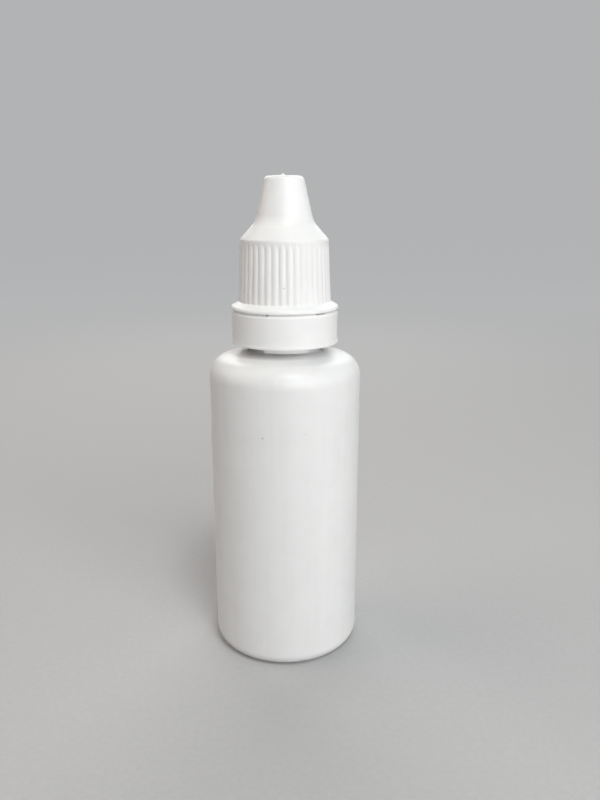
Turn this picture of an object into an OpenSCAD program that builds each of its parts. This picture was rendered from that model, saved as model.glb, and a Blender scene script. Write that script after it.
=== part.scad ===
// Squeeze dropper bottle for eye drops, with a screw cap and a tamper ring.
// Millimetres, +Z up, origin at the centre of the base on the surface it stands on.
// The bottle, the nozzle pressed into its neck, the ring and the cap share the Z axis.

/* [Bottle body] */
// Outer diameter of the body
body_d = 32; // [28:0.5:38]
// Height at which the straight side ends and the shoulder begins
side_h = 61.05; // [50:0.05:70]
// Wall thickness of the body
wall = 1; // [0.7:0.1:1.4]
// Radius of the rounded corner round the base
base_round = 2.6; // [1.8:0.1:3.6]
// Radius of the rounded shoulder
shoulder_round = 4.3; // [3:0.1:6]
// Rise of the shoulder towards the neck, in degrees
shoulder_rise = 13; // [6:1:18]
// Diameter of the raised centre under the base
push_up_d = 19; // [12:0.5:22]
// Height of the raised centre under the base
push_up_h = 1.2; // [0.5:0.1:2]

/* [Neck] */
// Diameter of the neck between the shoulder and the bead
collar_d = 14.8; // [14:0.1:15.4]
// Diameter of the neck at the root of its thread
neck_d = 13.8; // [13:0.1:14.4]
// Bore of the neck, which holds the nozzle
neck_bore_d = 10.4; // [9:0.1:11]
// Radius of the blend from the shoulder into the neck
neck_blend = 0.7; // [0.3:0.1:1]
// Diameter of the bead that holds the tamper ring down
bead_d = 18.5; // [18:0.1:19.2]
// Height of the bead
bead_h = 1.5; // [1.2:0.1:2]

/* [Thread] */
// Rise of the thread in one turn
pitch = 3; // [2.8:0.1:3.4]
// Height of both thread ridges above their walls
thread_depth = 0.8; // [0.6:0.05:0.9]
// Width of a thread ridge at its foot
thread_foot = 1.5; // [1.2:0.05:1.6]
// Width of a thread ridge at its crest
thread_crest = 0.6; // [0.4:0.05:0.8]
// Turns of the ridge on the neck
neck_turns = 1.5; // [1:0.25:2]
// Turns of the ridge in the cap
cap_turns = 1.25; // [0.75:0.25:1.5]
// Gap between each ridge's crest and the wall it faces
thread_gap = 0.2; // [0.15:0.05:0.3]
// Plain neck above the middle of the ridge's upper end
neck_lead = 3.6; // [3:0.1:4.5]

/* [Dropper nozzle] */
// How much wider than the bore the plug's sealing beads are, on the radius
seal_squeeze = 0.08; // [0.04:0.01:0.12]
// Gap between the plain part of the plug and the bore
plug_gap = 0.06; // [0.03:0.01:0.1]
// Length of the plug inside the neck
plug_h = 8; // [6:0.2:10]
// Wall thickness of the plug
plug_wall = 1.2; // [0.9:0.1:1.5]
// Diameter of the flange that sits on the neck
nozzle_flange_d = 13.4; // [12.6:0.1:13.8]
// Thickness of the flange that sits on the neck
nozzle_flange_t = 1; // [0.7:0.1:1.4]
// Height of the nozzle above its flange
nozzle_h = 11.1; // [9:0.1:12]
// Diameter of the nozzle where it leaves its flange
hub_d = 9.4; // [8.4:0.1:9.8]
// Height of the wide lower part of the nozzle
hub_h = 4.2; // [3:0.1:5]
// Diameter of the slim stem at its foot
stem_d = 4.8; // [4.2:0.1:5.4]
// Diameter of the stem at its tip
nozzle_tip_d = 3.6; // [3.2:0.1:4]
// Diameter of the outlet in the tip
outlet_d = 1.6; // [1.2:0.1:2]
// Depth of the outlet in the tip
outlet_h = 2.4; // [1.8:0.1:3]
// Diameter of the fine hole that sizes the drops
orifice_d = 0.7; // [0.4:0.05:0.9]

/* [Tamper ring] */
// Outer diameter of the ring
ring_d = 22.1; // [21.4:0.1:23]
// Height of the ring
ring_h = 6.65; // [5.5:0.05:8]
// Wall thickness of the ring
ring_wall = 1; // [0.8:0.05:1.2]
// Rounding of the ring's upper outer edge
ring_round = 0.55; // [0.35:0.05:0.7]
// How far the lip at the ring's lower edge stands proud
lip_out = 0.08; // [0.03:0.01:0.12]
// Height of the lip at the ring's lower edge
lip_h = 0.5; // [0.3:0.05:0.8]
// Number of tabs inside the ring
tab_count = 4; // [3:1:6]
// Width of one tab, in degrees
tab_width = 57; // [30:1:58]
// Direction of the first tab's middle, in degrees from the +X axis
tab_angle = -87; // [-120:1:-60]
// Outer diameter of the tabs
tab_d = 18.5; // [18.2:0.1:19]
// Thickness of a tab
tab_t = 0.5; // [0.4:0.05:0.7]
// How far the tabs hang below the ring
tab_drop = 1.05; // [0.6:0.05:1.6]
// Gap between the tabs and the shoulder below them
tab_gap = 0.5; // [0.3:0.05:1]
// Gap between the tabs' ledge and the bead above it
bead_gap = 0.3; // [0.2:0.05:0.5]
// Height of the slit between the ring and the cap
slit_h = 0.22; // [0.16:0.02:0.4]
// Gap between the bridges and the cap's flange
bridge_gap = 0.02; // [0.01:0.01:0.05]
// Number of bridges across the slit
bridge_count = 6; // [4:2:8]
// Thickness of the bridges
bridge_t = 0.4; // [0.3:0.05:0.5]
// How far the bridges lie behind the ring's outside
bridge_in = 0.3; // [0.28:0.02:0.34]
// Width of every other opening between the bridges, in degrees
wide_break = 13; // [6:1:20]
// Width of the openings in between, in degrees
narrow_break = 3; // [1:0.5:6]
// Direction of the first wide opening, in degrees from the +X axis
break_angle = -47.5; // [-60:0.5:-30]

/* [Screw cap] */
// Wall thickness of the cap
cap_wall = 1.2; // [0.9:0.05:1.4]
// Height of the skirt, from its lower edge to the shoulder's edge
skirt_h = 14.1; // [12:0.1:16]
// Diameter of the cap at the shoulder's edge, across the ribs
shoulder_d = 18.14; // [17.8:0.02:19]
// Slope of the skirt's side, in degrees
skirt_draft = 2.4; // [1:0.1:3]
// Diameter of the flange round the bottom of the skirt
flange_d = 22.38; // [21.8:0.02:23.2]
// Height of the flange's upright edge
flange_t = 0.68; // [0.66:0.02:1]
// Slope of the flange's top, in degrees
flange_slope = 30; // [20:1:40]
// Rounding of the flange's upper edge
flange_round = 0.6; // [0.3:0.05:0.6]
// Rounding of the flange's lower edge
flange_edge = 0.25; // [0.1:0.05:0.3]
// Number of ribs round the skirt
rib_count = 40; // [30:1:48]
// Radius of each rib's rounded back
rib_round = 1.1; // [0.9:0.05:1.4]
// Depth of the grooves between the ribs
rib_depth = 0.22; // [0.16:0.01:0.3]
// Height over which the grooves run out below the plain band
run_out = 1.6; // [0.8:0.1:3]
// Plain band between the ribs and the shoulder's edge
band_h = 0.5; // [0.3:0.05:1]
// Direction of the first groove, in degrees from the +X axis
groove_angle = 3; // [0:0.5:9]
// Slope of the cap's shoulder, in degrees
shoulder_slope = 48; // [40:1:55]
// Rounding of the shoulder's edge
shoulder_edge = 0.45; // [0.2:0.05:0.8]
// Diameter at which the shoulder meets the tapered top
waist_d = 11.95; // [11.4:0.05:12.4]
// Radius of the hollow blend between the shoulder and the tapered top
waist_blend = 4.3; // [2:0.1:5]
// Height of the cap above the shoulder's edge
top_h = 12.25; // [11.6:0.05:14]
// Diameter of the cap's flat end, before its edge is rounded
top_d = 7.9; // [7.2:0.05:8.6]
// Rounding of the flat end's edge
top_round = 0.95; // [0.4:0.05:1.2]
// Height of the gate mark on the flat end
gate_h = 0.45; // [0.2:0.05:0.8]
// Diameter of the gate mark at its foot
gate_d = 0.95; // [0.5:0.05:1.4]
// How far the gate mark lies off the middle
gate_off = 0.25; // [0:0.05:0.6]
// Depth of the sealing rib's seat below the shoulder's edge
seat_drop = 1.4; // [1:0.1:1.8]
// Inner diameter of the sealing rib
seal_d = 11.8; // [11:0.1:12.2]
// Thickness of the sealing rib
seal_t = 0.7; // [0.5:0.05:0.9]
// Gap between the sealing pin and the nozzle's outlet
pin_gap = 0.05; // [0.03:0.01:0.1]
// Length of the sealing pin inside the outlet
pin_h = 1.8; // [1:0.1:2.2]

/* [Hidden] */
$fn = 96;
eps = 0.01;
bottle_color = [0.93, 0.93, 0.92];
nozzle_color = [0.95, 0.96, 0.96];
cap_color = [0.96, 0.96, 0.95];

// Bottle, from the base up
body_r = body_d / 2;
collar_r = collar_d / 2;
neck_r = neck_d / 2;
bore_r = neck_bore_d / 2;
arc_r = body_r - shoulder_round;
// Where the shoulder's arc turns into its slope
slope_r = arc_r + shoulder_round * sin(shoulder_rise);
slope_z = side_h + shoulder_round * cos(shoulder_rise);
// Height of the shoulder's slope at the neck's collar
shoulder_z = slope_z + (slope_r - collar_r) * tan(shoulder_rise);

// Ring, cap and nozzle stand on the shoulder's height, one above the other
tab_z = shoulder_z + tab_gap;
rim_z = tab_z + tab_drop;
ring_top_z = rim_z + ring_h;
skirt_z = ring_top_z + slit_h;
edge_z = skirt_z + skirt_h;
seat_z = edge_z - seat_drop;
neck_top_z = seat_z - nozzle_flange_t;
top_z = edge_z + top_h;
ledge_z = rim_z + lip_h;
ledge_top_z = ledge_z + 2 * tab_t;
bead_z = ledge_top_z + bead_gap;
bead_r = bead_d / 2;

// Thread: the cap's ridge runs half a turn's rise below the neck's
thread_r = neck_r + thread_depth;
cap_bore_r = thread_r + thread_gap;
neck_thread_z = neck_top_z - neck_lead - neck_turns * pitch;
cap_thread_z = neck_thread_z - pitch / 2;
thread_sink = 0.2;
thread_step = 6;
thread_fade = 30;

// Cap
edge_r = shoulder_d / 2;
flange_r = flange_d / 2;
waist_r = waist_d / 2;
top_r = top_d / 2;
waist_z = edge_z + (edge_r - waist_r) * tan(shoulder_slope);
rib_top_z = edge_z - band_h;
taper = atan((waist_r - top_r) / (top_z - waist_z));
ceiling_z = top_z - cap_wall;
nozzle_top_z = seat_z + nozzle_h;
outlet_r = outlet_d / 2;

// Radius of the skirt across the ribs at a height
function skirt_r(z) = edge_r + (edge_z - z) * tan(skirt_draft);

// Height of the shoulder's inner face at a radius
function inner_shoulder_z(r) =
    edge_z + (edge_r - r) * tan(shoulder_slope) - cap_wall / cos(shoulder_slope);

// Radius of the tapered top's inner face at a height
function inner_top_r(z) = waist_r - (z - waist_z) * tan(taper) - cap_wall / cos(taper);

// Where those two inner faces meet
inner_waist_z = (
    edge_z + (edge_r - inner_top_r(0)) * tan(shoulder_slope) - cap_wall / cos(shoulder_slope)
) / (1 - tan(taper) * tan(shoulder_slope));
inner_waist_r = inner_top_r(inner_waist_z);

// Unit vector from p to q
function toward(p, q) = (q - p) / norm(q - p);

// The part of a corner at b that lies outside an arc of radius r tangent to both sides,
// and a little beyond the sides. Added to a hollow corner it blends it, and cut from a
// proud corner it rounds it. a, b and c run anticlockwise round the shape that is made.
// The arc is a hair larger than r, so that it crosses both sides cleanly.
module corner(a, b, c, r) {
    hair = 0.002;
    u = toward(b, a);
    v = toward(b, c);
    mid = toward([0, 0], u + v);
    half = acos(u * v) / 2;
    centre = b + mid * r / sin(half);
    end_a = b + u * r / tan(half);
    end_c = b + v * r / tan(half);
    over = r / 10;
    difference() {
        polygon([
            b - mid * over,
            end_a - toward(end_a, centre) * over,
            end_a,
            centre,
            end_c,
            end_c - toward(end_c, centre) * over
        ]);
        translate(centre) circle(r + hair);
    }
}

// Outline of the body from its base to the end of the shoulder, drawn in by t
module body_outline(t) {
    difference() {
        union() {
            translate([0, t]) square([body_r - base_round, side_h - t]);
            translate([0, base_round]) square([body_r - t, side_h - base_round]);
            translate([body_r - base_round, base_round]) circle(base_round - t);
            translate([0, side_h - eps]) square([arc_r, shoulder_round - t + eps]);
            translate([arc_r, side_h]) circle(shoulder_round - t);
            polygon([
                [0, side_h],
                [arc_r, side_h],
                [arc_r + (shoulder_round - t) * sin(shoulder_rise), slope_z - t * cos(shoulder_rise)],
                [0, slope_z - t * cos(shoulder_rise) + slope_r * tan(shoulder_rise)]
            ]);
        }
        push_up_outline(t);
    }
}

// Shallow dome under the base, raised by t
module push_up_outline(t) {
    dome_r = (pow(push_up_d / 2, 2) + pow(push_up_h, 2)) / (2 * push_up_h);
    intersection() {
        translate([0, push_up_h - dome_r]) circle(dome_r + t, $fn = 240);
        square([push_up_d, push_up_h + t]);
    }
}

// Ridge along a helix from height z: foot radius, crest radius, turns and first direction.
// The ends fade into the wall.
module thread_ridge(foot_r, crest_r, z, turns) {
    steps = round(turns * 360 / thread_step);
    out = sign(crest_r - foot_r);
    sunk_r = foot_r - out * thread_sink;
    function fade(a) = min(1, a / thread_fade, (turns * 360 - a) / thread_fade);
    function crest(a) = foot_r - out * thread_sink / 2
        + (crest_r - foot_r + out * thread_sink / 2) * fade(a);
    function at(r, a, dz) = [r * cos(a), r * sin(a), z + pitch * a / 360 + dz];
    points = [
        for (i = [0 : steps])
            let (a = i * turns * 360 / steps)
            each [
                at(sunk_r, a, -thread_foot / 2),
                at(crest(a), a, -thread_crest / 2),
                at(crest(a), a, thread_crest / 2),
                at(sunk_r, a, thread_foot / 2)
            ]
    ];
    sides = [
        for (i = [0 : steps - 1], j = [0 : 3])
            let (p = 4 * i + j, q = 4 * i + (j + 1) % 4)
            each [[p, p + 4, q + 4], [p, q + 4, q]]
    ];
    last = 4 * steps;
    ends = [[0, 1, 2], [0, 2, 3], [last, last + 2, last + 1], [last, last + 3, last + 2]];
    faces = concat(sides, ends);
    polyhedron(points, out > 0 ? [for (f = faces) [f[2], f[1], f[0]]] : faces);
}

// Blow-moulded bottle with its threaded neck and the bead that holds the ring down
module bottle() {
    color(bottle_color) union() {
        rotate_extrude() difference() {
            union() {
                body_outline(0);
                translate([0, side_h]) square([collar_r, bead_z + eps - side_h]);
                translate([0, bead_z]) square([neck_r, neck_top_z - bead_z]);
                corner([slope_r, slope_z], [collar_r, shoulder_z], [collar_r, bead_z], neck_blend);
                polygon([
                    [0, bead_z],
                    [bead_r, bead_z],
                    [bead_r, bead_z + bead_h / 3],
                    [neck_r, bead_z + bead_h]
                ]);
            }
            body_outline(wall);
            translate([0, side_h]) square([bore_r, neck_top_z]);
        }
        thread_ridge(neck_r, thread_r, neck_thread_z, neck_turns);
    }
}

// Nozzle pressed into the neck: hollow plug, flange, stem and drop outlet
module dropper_nozzle() {
    plug_r = bore_r - plug_gap;
    plug_z = neck_top_z - plug_h;
    hub_z = seat_z + hub_h;
    inner_r = plug_r - plug_wall;
    stem_r = stem_d / 2;
    tip_r = nozzle_tip_d / 2;
    lead = 0.4;
    bead_round = 0.4;
    color(nozzle_color) rotate_extrude() difference() {
        union() {
            polygon([
                [0, plug_z],
                [plug_r - lead, plug_z],
                [plug_r, plug_z + 2 * lead],
                [plug_r, neck_top_z],
                [nozzle_flange_d / 2, neck_top_z],
                [nozzle_flange_d / 2, seat_z],
                [hub_d / 2, seat_z],
                [stem_r, hub_z],
                [tip_r, nozzle_top_z],
                [0, nozzle_top_z]
            ]);
            corner([hub_d / 2, seat_z], [stem_r, hub_z], [tip_r, nozzle_top_z], 2 * stem_r);
            for (z = [plug_z + plug_h / 3, plug_z + 2 * plug_h / 3])
                translate([bore_r + seal_squeeze - bead_round, z]) circle(bead_round);
        }
        corner([0, nozzle_top_z], [tip_r, nozzle_top_z], [stem_r, hub_z], tip_r / 3);
        // Hollow of the plug and stem
        polygon([
            [0, plug_z - eps],
            [inner_r, plug_z - eps],
            [inner_r, neck_top_z],
            [stem_r - plug_wall, hub_z],
            [tip_r - plug_wall, nozzle_top_z - outlet_h - 2 * orifice_d],
            [0, nozzle_top_z - outlet_h - 2 * orifice_d]
        ]);
        square([orifice_d / 2, nozzle_top_z - outlet_h / 2]);
        translate([0, nozzle_top_z - outlet_h]) square([outlet_r, outlet_h + eps]);
        polygon([
            [0, nozzle_top_z - (tip_r - outlet_r) / 3],
            [outlet_r, nozzle_top_z - (tip_r - outlet_r) / 3],
            [outlet_r + (tip_r - outlet_r) / 3, nozzle_top_z + eps],
            [0, nozzle_top_z + eps]
        ]);
    }
}

// Break-away ring under the cap, with its lip, its tabs and its half-torn bridges
module tamper_ring() {
    outer_r = ring_d / 2;
    inner_r = outer_r - ring_wall;
    tab_r = tab_d / 2;
    bridge_r = outer_r - bridge_in - bridge_t;
    bridge_pitch = 360 / bridge_count;
    color(cap_color) union() {
        rotate_extrude() difference() {
            union() {
                translate([inner_r, rim_z]) square([ring_wall, ring_h]);
                translate([inner_r, rim_z]) square([ring_wall + lip_out, lip_h]);
            }
            corner([inner_r, ring_top_z], [outer_r, ring_top_z], [outer_r, rim_z], ring_round);
        }
        for (k = [0 : tab_count - 1])
            rotate(tab_angle - tab_width / 2 + k * 360 / tab_count)
                rotate_extrude(angle = tab_width) {
                    polygon([
                        [tab_r - tab_t, tab_z],
                        [tab_r - tab_t / 4, tab_z],
                        [tab_r, tab_z + tab_t / 4],
                        [tab_r, ledge_z],
                        [inner_r + ring_wall / 2, ledge_z],
                        [inner_r + ring_wall / 2, ledge_top_z],
                        [tab_r - tab_t, ledge_top_z]
                    ]);
                }
        for (k = [0 : bridge_count - 1])
            let (
                before = (k % 2 == 0 ? wide_break : narrow_break) / 2,
                after = (k % 2 == 0 ? narrow_break : wide_break) / 2
            )
            rotate(break_angle + k * bridge_pitch + before)
                rotate_extrude(angle = bridge_pitch - before - after)
                    translate([bridge_r, ring_top_z - ring_round])
                        square([bridge_t, ring_round + slit_h - bridge_gap]);
    }
}

// Ribs round the skirt: leaning rods whose backs follow the skirt's draft, just inside
// the plain band above them
module ribs() {
    foot_z = skirt_z + flange_t;
    set_back = 0.02;
    length = (rib_top_z + band_h / 2 - foot_z) / cos(skirt_draft);
    for (k = [0 : rib_count - 1])
        rotate(groove_angle + (k + 0.5) * 360 / rib_count)
            translate([skirt_r(foot_z) - rib_round - set_back, 0, foot_z])
                rotate([0, -skirt_draft, 0]) cylinder(r = rib_round, h = length);
}

// Outer outline of the cap, with the ribbed part of the skirt at the grooves' depth
module cap_outline() {
    core_r = skirt_r(skirt_z) - rib_depth;
    groove_top_z = rib_top_z - run_out;
    groove_top_r = skirt_r(groove_top_z) - rib_depth;
    slope_top_z = skirt_z + flange_t + (flange_r - core_r) * tan(flange_slope);
    flange_top = [flange_r, skirt_z + flange_t];
    waist = [waist_r, waist_z];
    edge = [edge_r, edge_z];
    band = [skirt_r(rib_top_z), rib_top_z];
    difference() {
        union() {
            polygon([
                [0, skirt_z],
                [flange_r, skirt_z],
                flange_top,
                [core_r, slope_top_z],
                [groove_top_r, groove_top_z],
                band,
                edge,
                waist,
                [top_r, top_z],
                [0, top_z]
            ]);
            corner(edge, waist, [top_r, top_z], waist_blend);
        }
        corner(flange_top, [flange_r, skirt_z], [0, skirt_z], flange_edge);
        corner([core_r, slope_top_z], flange_top, [flange_r, skirt_z], flange_round);
        corner(waist, edge, band, shoulder_edge);
        corner([0, top_z], [top_r, top_z], waist, top_round);
    }
}

// Hollow of the cap: lead-in, bore for the thread, shoulder and tapered top
module cap_hollow() {
    lead = 0.6;
    polygon([
        [0, skirt_z - eps],
        [cap_bore_r + lead, skirt_z - eps],
        [cap_bore_r, skirt_z + lead],
        [cap_bore_r, inner_shoulder_z(cap_bore_r)],
        [inner_waist_r, inner_waist_z],
        [inner_top_r(ceiling_z), ceiling_z],
        [0, ceiling_z]
    ]);
}

// Screw cap: ribbed skirt, flange, shoulder, tapered top, thread, sealing rib and pin
module screw_cap() {
    pin_r = outlet_r - pin_gap;
    seal_r = seal_d / 2;
    boss_r = 2 * pin_r;
    boss_gap = 0.3;
    color(cap_color) union() {
        difference() {
            union() {
                rotate_extrude() cap_outline();
                ribs();
            }
            rotate_extrude() cap_hollow();
        }
        thread_ridge(cap_bore_r, neck_r + thread_gap, cap_thread_z, cap_turns);
        rotate_extrude() {
            // Sealing rib that stands on the nozzle's flange
            translate([seal_r, seat_z])
                square([seal_t, inner_shoulder_z(seal_r) + cap_wall / 3 - seat_z]);
            // Sealing pin under a short boss
            polygon([
                [0, nozzle_top_z - pin_h],
                [pin_r, nozzle_top_z - pin_h],
                [pin_r, nozzle_top_z + boss_gap],
                [boss_r, ceiling_z + cap_wall / 3],
                [0, ceiling_z + cap_wall / 3]
            ]);
        }
        translate([-gate_off, 0, top_z - eps])
            cylinder(r1 = gate_d / 2, r2 = gate_d / 4, h = gate_h + eps);
    }
}

bottle();
dropper_nozzle();
tamper_ring();
screw_cap();
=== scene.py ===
import math

import bmesh
import bpy
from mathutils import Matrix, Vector

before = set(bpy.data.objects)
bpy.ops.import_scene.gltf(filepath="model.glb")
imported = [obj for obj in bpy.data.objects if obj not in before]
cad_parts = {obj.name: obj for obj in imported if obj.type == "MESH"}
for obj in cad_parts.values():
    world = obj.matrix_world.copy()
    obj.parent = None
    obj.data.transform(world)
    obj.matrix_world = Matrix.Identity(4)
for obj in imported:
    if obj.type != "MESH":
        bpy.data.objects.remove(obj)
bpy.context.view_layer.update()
scene = bpy.context.scene
scene.view_settings.view_transform = "Standard"


# Camera: held a hand's width in front of the bottle and a little above the cap's shoulder,
# looking down at it, so that the upright sides draw together towards the base.
camera_data = bpy.data.cameras.new("camera")
camera_data.sensor_width = 36
camera_data.lens = 31.5
camera_data.clip_start = 0.01
camera_data.clip_end = 20
camera = bpy.data.objects.new("camera", camera_data)
camera.location = (0.0032, -0.146227, 0.093972)
camera.rotation_euler = (math.radians(75.095), 0, 0)
scene.collection.objects.link(camera)
scene.camera = camera


# Lights: a wide soft window of light on the right in front, a smaller box above that draws
# the ring's shadow on the shoulder, and boxes on the right, on the left and behind that
# keep the other sides clear.
middle_z = 0.055


def softbox(name, azimuth, elevation, distance, size, power, tint):
    """Aims a lamp at the bottle's middle from degrees round from the front and up."""
    aim = Vector((0, 0, middle_z))
    flat = distance * math.cos(math.radians(elevation))
    place = aim + Vector((
        flat * math.sin(math.radians(azimuth)),
        -flat * math.cos(math.radians(azimuth)),
        distance * math.sin(math.radians(elevation)),
    ))
    lamp = bpy.data.lights.new(name, "AREA")
    lamp.shape = "RECTANGLE"
    lamp.size, lamp.size_y = size
    lamp.energy = power
    lamp.color = tint
    holder = bpy.data.objects.new(name, lamp)
    holder.location = place
    holder.rotation_euler = (aim - place).to_track_quat("-Z", "Y").to_euler()
    scene.collection.objects.link(holder)


softbox("window_softbox", 28, 23, 0.60, (0.50, 0.50), 2.64, (1, 0.985, 0.985))
softbox("right_softbox", 78, 5, 0.60, (0.50, 0.50), 0.62, (0.98, 0.98, 1))
softbox("top_softbox", 20, 62, 0.60, (0.12, 0.12), 0.98, (0.90, 1, 0.98))
softbox("left_softbox", -95, 40, 0.60, (0.50, 0.50), 1.25, (1, 0.88, 0.81))
softbox("back_softbox", 180, 35, 0.60, (0.60, 0.40), 1.90, (1, 0.99, 0.98))

world = bpy.data.worlds.new("studio_air")
scene.world = world
world.use_nodes = True
air = world.node_tree
air.nodes.clear()
sight = air.nodes.new("ShaderNodeLightPath")
seen = air.nodes.new("ShaderNodeBackground")
seen.inputs["Color"].default_value = (0.60, 0.605, 0.61, 1)
seen.inputs["Strength"].default_value = 1
glow = air.nodes.new("ShaderNodeBackground")
glow.inputs["Color"].default_value = (1, 0.99, 0.98, 1)
glow.inputs["Strength"].default_value = 0.12
pick = air.nodes.new("ShaderNodeMixShader")
air_out = air.nodes.new("ShaderNodeOutputWorld")
air.links.new(sight.outputs["Is Camera Ray"], pick.inputs[0])
air.links.new(glow.outputs[0], pick.inputs[1])
air.links.new(seen.outputs[0], pick.inputs[2])
air.links.new(pick.outputs[0], air_out.inputs["Surface"])


# Floor: a round sheet of pale paper board under the bottle, curving up all round into a
# wall, so that no edge shows from any side. Away from the bottle the eye sees an even pale
# tone there, and near it the board takes the bottle's shadow.
floor_r = 0.9
cove_r = 0.35
cove_steps = 12
wall_h = 1.4
mesh = bmesh.new()
line = [mesh.verts.new((0, 0, 0)), mesh.verts.new((floor_r, 0, 0))]
for step in range(1, cove_steps + 1):
    turn = math.pi / 2 * step / cove_steps
    reach = floor_r + cove_r * math.sin(turn)
    line.append(mesh.verts.new((reach, 0, cove_r * (1 - math.cos(turn)))))
line.append(mesh.verts.new((floor_r + cove_r, 0, wall_h)))
edges = [mesh.edges.new(pair) for pair in zip(line[:-1], line[1:])]
bmesh.ops.spin(
    mesh, geom=line + edges, cent=(0, 0, 0), axis=(0, 0, 1), dvec=(0, 0, 0),
    angle=2 * math.pi, steps=96, use_merge=True, use_normal_flip=False, use_duplicate=False,
)
bmesh.ops.remove_doubles(mesh, verts=mesh.verts, dist=1e-6)
bmesh.ops.recalc_face_normals(mesh, faces=mesh.faces)
for face in mesh.faces:
    face.smooth = True
floor_mesh = bpy.data.meshes.new("studio_floor")
mesh.to_mesh(floor_mesh)
mesh.free()
floor = bpy.data.objects.new("studio_floor", floor_mesh)
scene.collection.objects.link(floor)


def add(tree, kind, inputs=None, **settings):
    """Adds a node, sets it up and joins a socket or a value to each named input."""
    node = tree.nodes.new("ShaderNode" + kind)
    for name, value in settings.items():
        setattr(node, name, value)
    for name, value in (inputs or {}).items():
        if isinstance(value, bpy.types.NodeSocket):
            tree.links.new(value, node.inputs[name])
        else:
            node.inputs[name].default_value = value
    return node


def math_node(tree, operation, first, second=0.0, third=0.0):
    inputs = {0: first, 1: second, 2: third}
    return add(tree, "Math", inputs, operation=operation).outputs[0]


def spread(tree, value, low, high, start=0.0, end=1.0):
    """Carries a value from the range start to end over to the range low to high."""
    inputs = {"Value": value, "From Min": start, "From Max": end, "To Min": low, "To Max": high}
    return add(tree, "MapRange", inputs, interpolation_type="SMOOTHSTEP").outputs["Result"]


def tint(tree, mask, plain, marked):
    """Mixes two colours by a mask."""
    mix = add(tree, "Mix", {0: mask, 6: plain, 7: marked}, data_type="RGBA")
    return mix.outputs[2]


def new_material(name):
    """Starts a material whose patterns follow the piece's own real size."""
    material = bpy.data.materials.new(name)
    material.use_nodes = True
    tree = material.node_tree
    position = add(tree, "TexCoord").outputs["Object"]
    return material, tree, tree.nodes["Principled BSDF"], position


paper, tree, shade, position = new_material("pale paper board")
fibre = add(tree, "TexNoise", {"Vector": position, "Scale": 900, "Detail": 4}).outputs["Fac"]
board = tint(tree, fibre, (0.47, 0.47, 0.475, 1), (0.53, 0.53, 0.53, 1))
reach = add(tree, "VectorMath", {0: position}, operation="LENGTH").outputs["Value"]
far = spread(tree, reach, 0, 1, 0.08, 0.70)
backdrop = tint(tree, fibre, (0.425, 0.43, 0.435, 1), (0.445, 0.45, 0.455, 1))
rays = add(tree, "LightPath").outputs
watched = math_node(tree, "ADD", rays["Is Camera Ray"], rays["Is Glossy Ray"])
watched = math_node(tree, "ADD", watched, rays["Is Transmission Ray"])
even = math_node(tree, "MULTIPLY", far, watched)
board = tint(tree, watched, (0.42, 0.42, 0.42, 1), board)
tree.links.new(tint(tree, even, board, (0.03, 0.03, 0.03, 1)), shade.inputs["Base Color"])
tree.links.new(tint(tree, even, (0, 0, 0, 1), backdrop), shade.inputs["Emission Color"])
shade.inputs["Emission Strength"].default_value = 1
tree.links.new(spread(tree, fibre, 0.82, 0.95), shade.inputs["Roughness"])
shade.inputs["Specular IOR Level"].default_value = 0.2
paper_bump = add(tree, "Bump", {"Height": fibre, "Strength": 0.3, "Distance": 0.0002})
tree.links.new(paper_bump.outputs["Normal"], shade.inputs["Normal"])
floor.data.materials.append(paper)


# Bottle: one piece of white low-density polyethylene, blown out of a soft tube inside a
# split mould. The tube leaves faint upright streaks, and the mould's two halves leave a
# fine line up both sides and a pinched seam under the base.
def new_group(name, inputs, outputs):
    """Starts a shared node group and gives its tree, its inlet and its outlet."""
    tree = bpy.data.node_groups.new(name, "ShaderNodeTree")
    for direction, sockets in (("INPUT", inputs), ("OUTPUT", outputs)):
        for socket, kind in sockets.items():
            tree.interface.new_socket(name=socket, in_out=direction, socket_type="NodeSocket" + kind)
    inlet = tree.nodes.new("NodeGroupInput").outputs
    outlet = tree.nodes.new("NodeGroupOutput").inputs
    return tree, inlet, outlet


def use(tree, group, inputs):
    """Puts a shared group into a material and joins its inputs."""
    node = tree.nodes.new("ShaderNodeGroup")
    node.node_tree = group
    for name, value in inputs.items():
        if isinstance(value, bpy.types.NodeSocket):
            tree.links.new(value, node.inputs[name])
        else:
            node.inputs[name].default_value = value
    return node.outputs


# The fine orange peel, the broad unevenness and the cloudy tone that any moulded skin has
plastic_skin, inlet, outlet = new_group(
    "moulded plastic skin",
    {"Position": "Vector", "Grain": "Float"},
    {"Tone": "Float", "Sheen": "Float", "Height": "Float"},
)
peel = add(plastic_skin, "TexNoise", {
    "Vector": inlet["Position"], "Scale": inlet["Grain"], "Detail": 3, "Roughness": 0.6,
}).outputs["Fac"]
cloud = add(plastic_skin, "TexNoise", {
    "Vector": inlet["Position"], "Scale": 210, "Detail": 4, "Roughness": 0.55,
}).outputs["Fac"]
patch = add(plastic_skin, "TexNoise", {
    "Vector": inlet["Position"], "Scale": 90, "Detail": 5, "Roughness": 0.65,
}).outputs["Fac"]
plastic_skin.links.new(spread(plastic_skin, cloud, 0, 1, 0.3, 0.7), outlet["Tone"])
plastic_skin.links.new(spread(plastic_skin, patch, 0, 1, 0.32, 0.68), outlet["Sheen"])
plastic_skin.links.new(peel, outlet["Height"])

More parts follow.
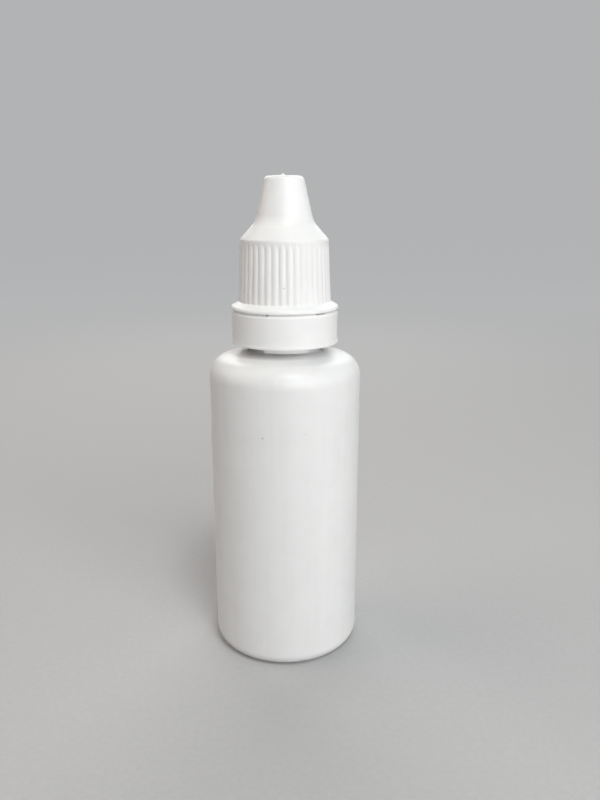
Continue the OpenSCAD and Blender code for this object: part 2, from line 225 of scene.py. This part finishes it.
# Grains of dust and short scuffs from handling
handling, inlet, outlet = new_group(
    "handling marks", {"Position": "Vector"}, {"Dust": "Float", "Scuff": "Float"}
)
grains = add(handling, "TexVoronoi", {"Vector": inlet["Position"], "Scale": 620})
chosen = add(handling, "SeparateColor", {"Color": grains.outputs["Color"]}).outputs["Red"]
grain_mask = spread(handling, grains.outputs["Distance"], 1, 0, 0.02, 0.07)
kept = spread(handling, chosen, 0, 1, 0.90, 0.99)
handling.links.new(math_node(handling, "MULTIPLY", grain_mask, kept), outlet["Dust"])
turned = add(handling, "Mapping", {
    "Vector": inlet["Position"], "Rotation": (0.2, 0.35, 0.1), "Scale": (2600, 2600, 260),
})
streak = add(handling, "TexNoise", {
    "Vector": turned.outputs[0], "Scale": 1, "Detail": 2,
}).outputs["Fac"]
handling.links.new(spread(handling, streak, 0, 1, 0.66, 0.74), outlet["Scuff"])

# One small speck moulded into the skin at a given spot
speck, inlet, outlet = new_group(
    "moulded-in speck", {"Position": "Vector", "Spot": "Vector", "Radius": "Float"}, {"Mask": "Float"}
)
away = add(speck, "VectorMath", {0: inlet["Position"], 1: inlet["Spot"]}, operation="DISTANCE")
share = math_node(speck, "DIVIDE", away.outputs["Value"], inlet["Radius"])
speck.links.new(spread(speck, share, 1, 0, 0.4, 1.0), outlet["Mask"])

# A narrow line on the plane where a coordinate is zero
fine_line, inlet, outlet = new_group(
    "fine mould line", {"Distance": "Float", "Width": "Float"}, {"Mask": "Float"}
)
off = math_node(fine_line, "ABSOLUTE", inlet["Distance"])
share = math_node(fine_line, "DIVIDE", off, inlet["Width"])
fine_line.links.new(spread(fine_line, share, 1, 0, 0.2, 1.0), outlet["Mask"])

blown, tree, shade, position = new_material("satin blown polyethylene")
skin = use(tree, plastic_skin, {"Position": position, "Grain": 3400})
marks = use(tree, handling, {"Position": position})
across = add(tree, "SeparateXYZ", {"Vector": position}).outputs
drawn = add(tree, "Mapping", {"Vector": position, "Scale": (1, 1, 0.025)})
streaks = add(tree, "TexNoise", {
    "Vector": drawn.outputs[0], "Scale": 620, "Detail": 4, "Roughness": 0.6,
}).outputs["Fac"]
mould_line = use(tree, fine_line, {"Distance": across["Y"], "Width": 0.00009})["Mask"]
pinched = use(tree, fine_line, {"Distance": across["Y"], "Width": 0.0004})["Mask"]
under = spread(tree, across["Z"], 1, 0, 0.0008, 0.0014)
middle = spread(tree, math_node(tree, "ABSOLUTE", across["X"]), 1, 0, 0.0075, 0.0085)
pinch = math_node(tree, "MULTIPLY", math_node(tree, "MULTIPLY", pinched, under), middle)
tone = tint(tree, skin["Tone"], (0.805, 0.805, 0.802, 1), (0.83, 0.83, 0.827, 1))
tone = tint(tree, spread(tree, streaks, 0, 0.55, 0.35, 0.7), tone, (0.85, 0.85, 0.848, 1))
speck_tone = (0.16, 0.12, 0.09, 1)
spots = (
    ((-0.004156, -0.015451, 0.051346), 0.00025, 0.42),
    ((0.004280, -0.015417, 0.052158), 0.00023, 0.20),
)
for spot, radius, strength in spots:
    seen_speck = use(tree, speck, {"Position": position, "Spot": spot, "Radius": radius})["Mask"]
    tone = tint(tree, math_node(tree, "MULTIPLY", seen_speck, strength), tone, speck_tone)
tone = tint(tree, math_node(tree, "MULTIPLY", marks["Dust"], 0.30), tone, (0.42, 0.38, 0.34, 1))
tone = tint(tree, math_node(tree, "MULTIPLY", pinch, 0.25), tone, (0.60, 0.59, 0.57, 1))
tree.links.new(tone, shade.inputs["Base Color"])
rough = spread(tree, skin["Sheen"], 0.30, 0.39)
rough = math_node(tree, "MULTIPLY_ADD", marks["Scuff"], 0.09, rough)
tree.links.new(rough, shade.inputs["Roughness"])
height = math_node(tree, "MULTIPLY_ADD", streaks, 1.2, skin["Height"])
height = math_node(tree, "MULTIPLY_ADD", mould_line, 3.0, height)
height = math_node(tree, "MULTIPLY_ADD", pinch, 12.0, height)
height = math_node(tree, "MULTIPLY_ADD", marks["Scuff"], -0.3, height)
skin_bump = add(tree, "Bump", {"Height": height, "Strength": 0.5, "Distance": 0.000012})
tree.links.new(skin_bump.outputs["Normal"], shade.inputs["Normal"])
shade.inputs["IOR"].default_value = 1.51
shade.inputs["Subsurface Weight"].default_value = 0.25
shade.inputs["Subsurface Radius"].default_value = (1, 0.85, 0.7)
shade.inputs["Subsurface Scale"].default_value = 0.0012
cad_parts["bottle"].material_slots[0].material = blown


# Dropper nozzle: a plug of natural, slightly see-through polyethylene, injection moulded
# and pressed into the neck under the cap. Turned tooling leaves fine rings on it.
natural, tree, shade, position = new_material("natural nozzle polyethylene")
skin = use(tree, plastic_skin, {"Position": position, "Grain": 5200})
marks = use(tree, handling, {"Position": position})
across = add(tree, "SeparateXYZ", {"Vector": position}).outputs
rings = add(tree, "TexWave", {
    "Vector": position, "Scale": 900, "Distortion": 0.4, "Detail": 1,
}, wave_type="BANDS", bands_direction="Z").outputs["Fac"]
tone = tint(tree, skin["Tone"], (0.74, 0.765, 0.76, 1), (0.80, 0.82, 0.81, 1))
tone = tint(tree, math_node(tree, "MULTIPLY", marks["Dust"], 0.2), tone, (0.42, 0.40, 0.36, 1))
tree.links.new(tone, shade.inputs["Base Color"])
tree.links.new(spread(tree, skin["Sheen"], 0.26, 0.36), shade.inputs["Roughness"])
height = math_node(tree, "MULTIPLY_ADD", rings, 0.6, skin["Height"])
nozzle_bump = add(tree, "Bump", {"Height": height, "Strength": 0.4, "Distance": 0.000008})
tree.links.new(nozzle_bump.outputs["Normal"], shade.inputs["Normal"])
shade.inputs["IOR"].default_value = 1.51
shade.inputs["Transmission Weight"].default_value = 0.25
shade.inputs["Subsurface Weight"].default_value = 0.3
shade.inputs["Subsurface Radius"].default_value = (1, 1, 0.95)
shade.inputs["Subsurface Scale"].default_value = 0.002
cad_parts["dropper_nozzle"].material_slots[0].material = natural


# Tamper ring: moulded in one shot with the cap, of the same harder white polyethylene. Thin
# bridges join the two until the first opening, which stretches them and turns them whiter.
ring_top_z = 0.074656


def cap_skin(name):
    """Begins the white polyethylene of cap and ring, with the soft sheen of their mould."""
    material, tree, shade, position = new_material(name)
    skin = use(tree, plastic_skin, {"Position": position, "Grain": 4600})
    marks = use(tree, handling, {"Position": position})
    tone = tint(tree, skin["Tone"], (0.86, 0.86, 0.856, 1), (0.885, 0.885, 0.882, 1))
    tone = tint(tree, math_node(tree, "MULTIPLY", marks["Dust"], 0.3), tone, (0.45, 0.41, 0.36, 1))
    rough = spread(tree, skin["Sheen"], 0.36, 0.45)
    rough = math_node(tree, "MULTIPLY_ADD", marks["Scuff"], 0.10, rough)
    height = math_node(tree, "MULTIPLY_ADD", marks["Scuff"], -0.3, skin["Height"])
    shade.inputs["IOR"].default_value = 1.53
    shade.inputs["Subsurface Weight"].default_value = 0.2
    shade.inputs["Subsurface Radius"].default_value = (1, 0.9, 0.8)
    shade.inputs["Subsurface Scale"].default_value = 0.0008
    return material, tree, shade, position, tone, rough, height


def finish_skin(tree, shade, tone, rough, height):
    """Joins the finished tone, roughness and height to the shader."""
    tree.links.new(tone, shade.inputs["Base Color"])
    tree.links.new(rough, shade.inputs["Roughness"])
    bump = add(tree, "Bump", {"Height": height, "Strength": 0.45, "Distance": 0.000009})
    tree.links.new(bump.outputs["Normal"], shade.inputs["Normal"])


ring_plastic, tree, shade, position, tone, rough, height = cap_skin("ring polyethylene")
across = add(tree, "SeparateXYZ", {"Vector": position}).outputs
stretched = spread(tree, across["Z"], 0, 0.6, ring_top_z - 0.0001, ring_top_z + 0.0001)
tone = tint(tree, stretched, tone, (0.90, 0.90, 0.89, 1))
tool_marks = add(tree, "Mapping", {"Vector": position, "Scale": (1, 1, 0.04)})
drag = add(tree, "TexNoise", {
    "Vector": tool_marks.outputs[0], "Scale": 1500, "Detail": 3,
}).outputs["Fac"]
height = math_node(tree, "MULTIPLY_ADD", drag, 0.6, height)
rough = math_node(tree, "MULTIPLY_ADD", stretched, 0.25, rough)
finish_skin(tree, shade, tone, rough, height)
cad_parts["tamper_ring"].material_slots[0].material = ring_plastic


# Screw cap: white polyethylene shot through a gate in the middle of the flat end, so that
# faint flow marks run down the taper. Its ribs drag on the steel as it is stripped off, and
# the grooves between them stay duller, with painted shade darkening their floors.
edge_z = 0.088976
edge_r = 0.00907
skirt_draft = math.radians(2.4)
rib_depth = 0.00022
gate = (-0.00025, 0, 0.1012)

cap_plastic, tree, shade, position, tone, rough, height = cap_skin("ribbed cap polyethylene")
across = add(tree, "SeparateXYZ", {"Vector": position}).outputs
flat = add(tree, "CombineXYZ", {"X": across["X"], "Y": across["Y"]}).outputs[0]
radius = add(tree, "VectorMath", {0: flat}, operation="LENGTH").outputs["Value"]
below_edge = math_node(tree, "SUBTRACT", edge_z, across["Z"])
widening = math_node(tree, "MULTIPLY", below_edge, math.tan(skirt_draft))
plain_r = math_node(tree, "ADD", widening, edge_r)
sunk = math_node(tree, "SUBTRACT", plain_r, radius)
groove_shade_and_dullness = spread(tree, sunk, 0, 1, 0.3 * rib_depth, rib_depth)
on_skirt = spread(tree, across["Z"], 1, 0, edge_z - 0.0021, edge_z - 0.0005)
outside = spread(tree, sunk, 1, 0, 1.5 * rib_depth, 3 * rib_depth)
groove_shade_and_dullness = math_node(tree, "MULTIPLY", math_node(tree, "MULTIPLY", groove_shade_and_dullness, on_skirt), outside)
# Painted shade: the groove floors are coloured darker than the ribs, standing in for the shade that
# falls in them
tone = tint(tree, math_node(tree, "MULTIPLY", groove_shade_and_dullness, 0.25), tone, (0.74, 0.725, 0.70, 1))
around = add(tree, "VectorMath", {0: flat}, operation="NORMALIZE").outputs[0]
turn = add(tree, "SeparateXYZ", {"Vector": around}).outputs
slow = math_node(tree, "MULTIPLY", across["Z"], 40)
fan = add(tree, "CombineXYZ", {"X": turn["X"], "Y": turn["Y"], "Z": slow}).outputs[0]
flow = add(tree, "TexNoise", {"Vector": fan, "Scale": 5.5, "Detail": 4, "Roughness": 0.6}).outputs["Fac"]
tone = tint(tree, spread(tree, flow, 0, 0.35, 0.4, 0.75), tone, (0.885, 0.885, 0.88, 1))
gate_away = add(tree, "VectorMath", {0: position, 1: gate}, operation="DISTANCE").outputs["Value"]
torn = spread(tree, gate_away, 1, 0, 0.0004, 0.0007)
cap_spot = (0.000099, -0.009399, 0.079939)
seen_speck = use(tree, speck, {"Position": position, "Spot": cap_spot, "Radius": 0.00020})["Mask"]
tone = tint(tree, math_node(tree, "MULTIPLY", seen_speck, 0.5), tone, (0.20, 0.16, 0.12, 1))
rough = math_node(tree, "MULTIPLY_ADD", groove_shade_and_dullness, 0.12, rough)
rough = math_node(tree, "MULTIPLY_ADD", torn, 0.20, rough)
height = math_node(tree, "MULTIPLY_ADD", flow, 1.5, height)
height = math_node(tree, "MULTIPLY_ADD", math_node(tree, "MULTIPLY", torn, height), 3.0, height)
finish_skin(tree, shade, tone, rough, height)
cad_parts["screw_cap"].material_slots[0].material = cap_plastic
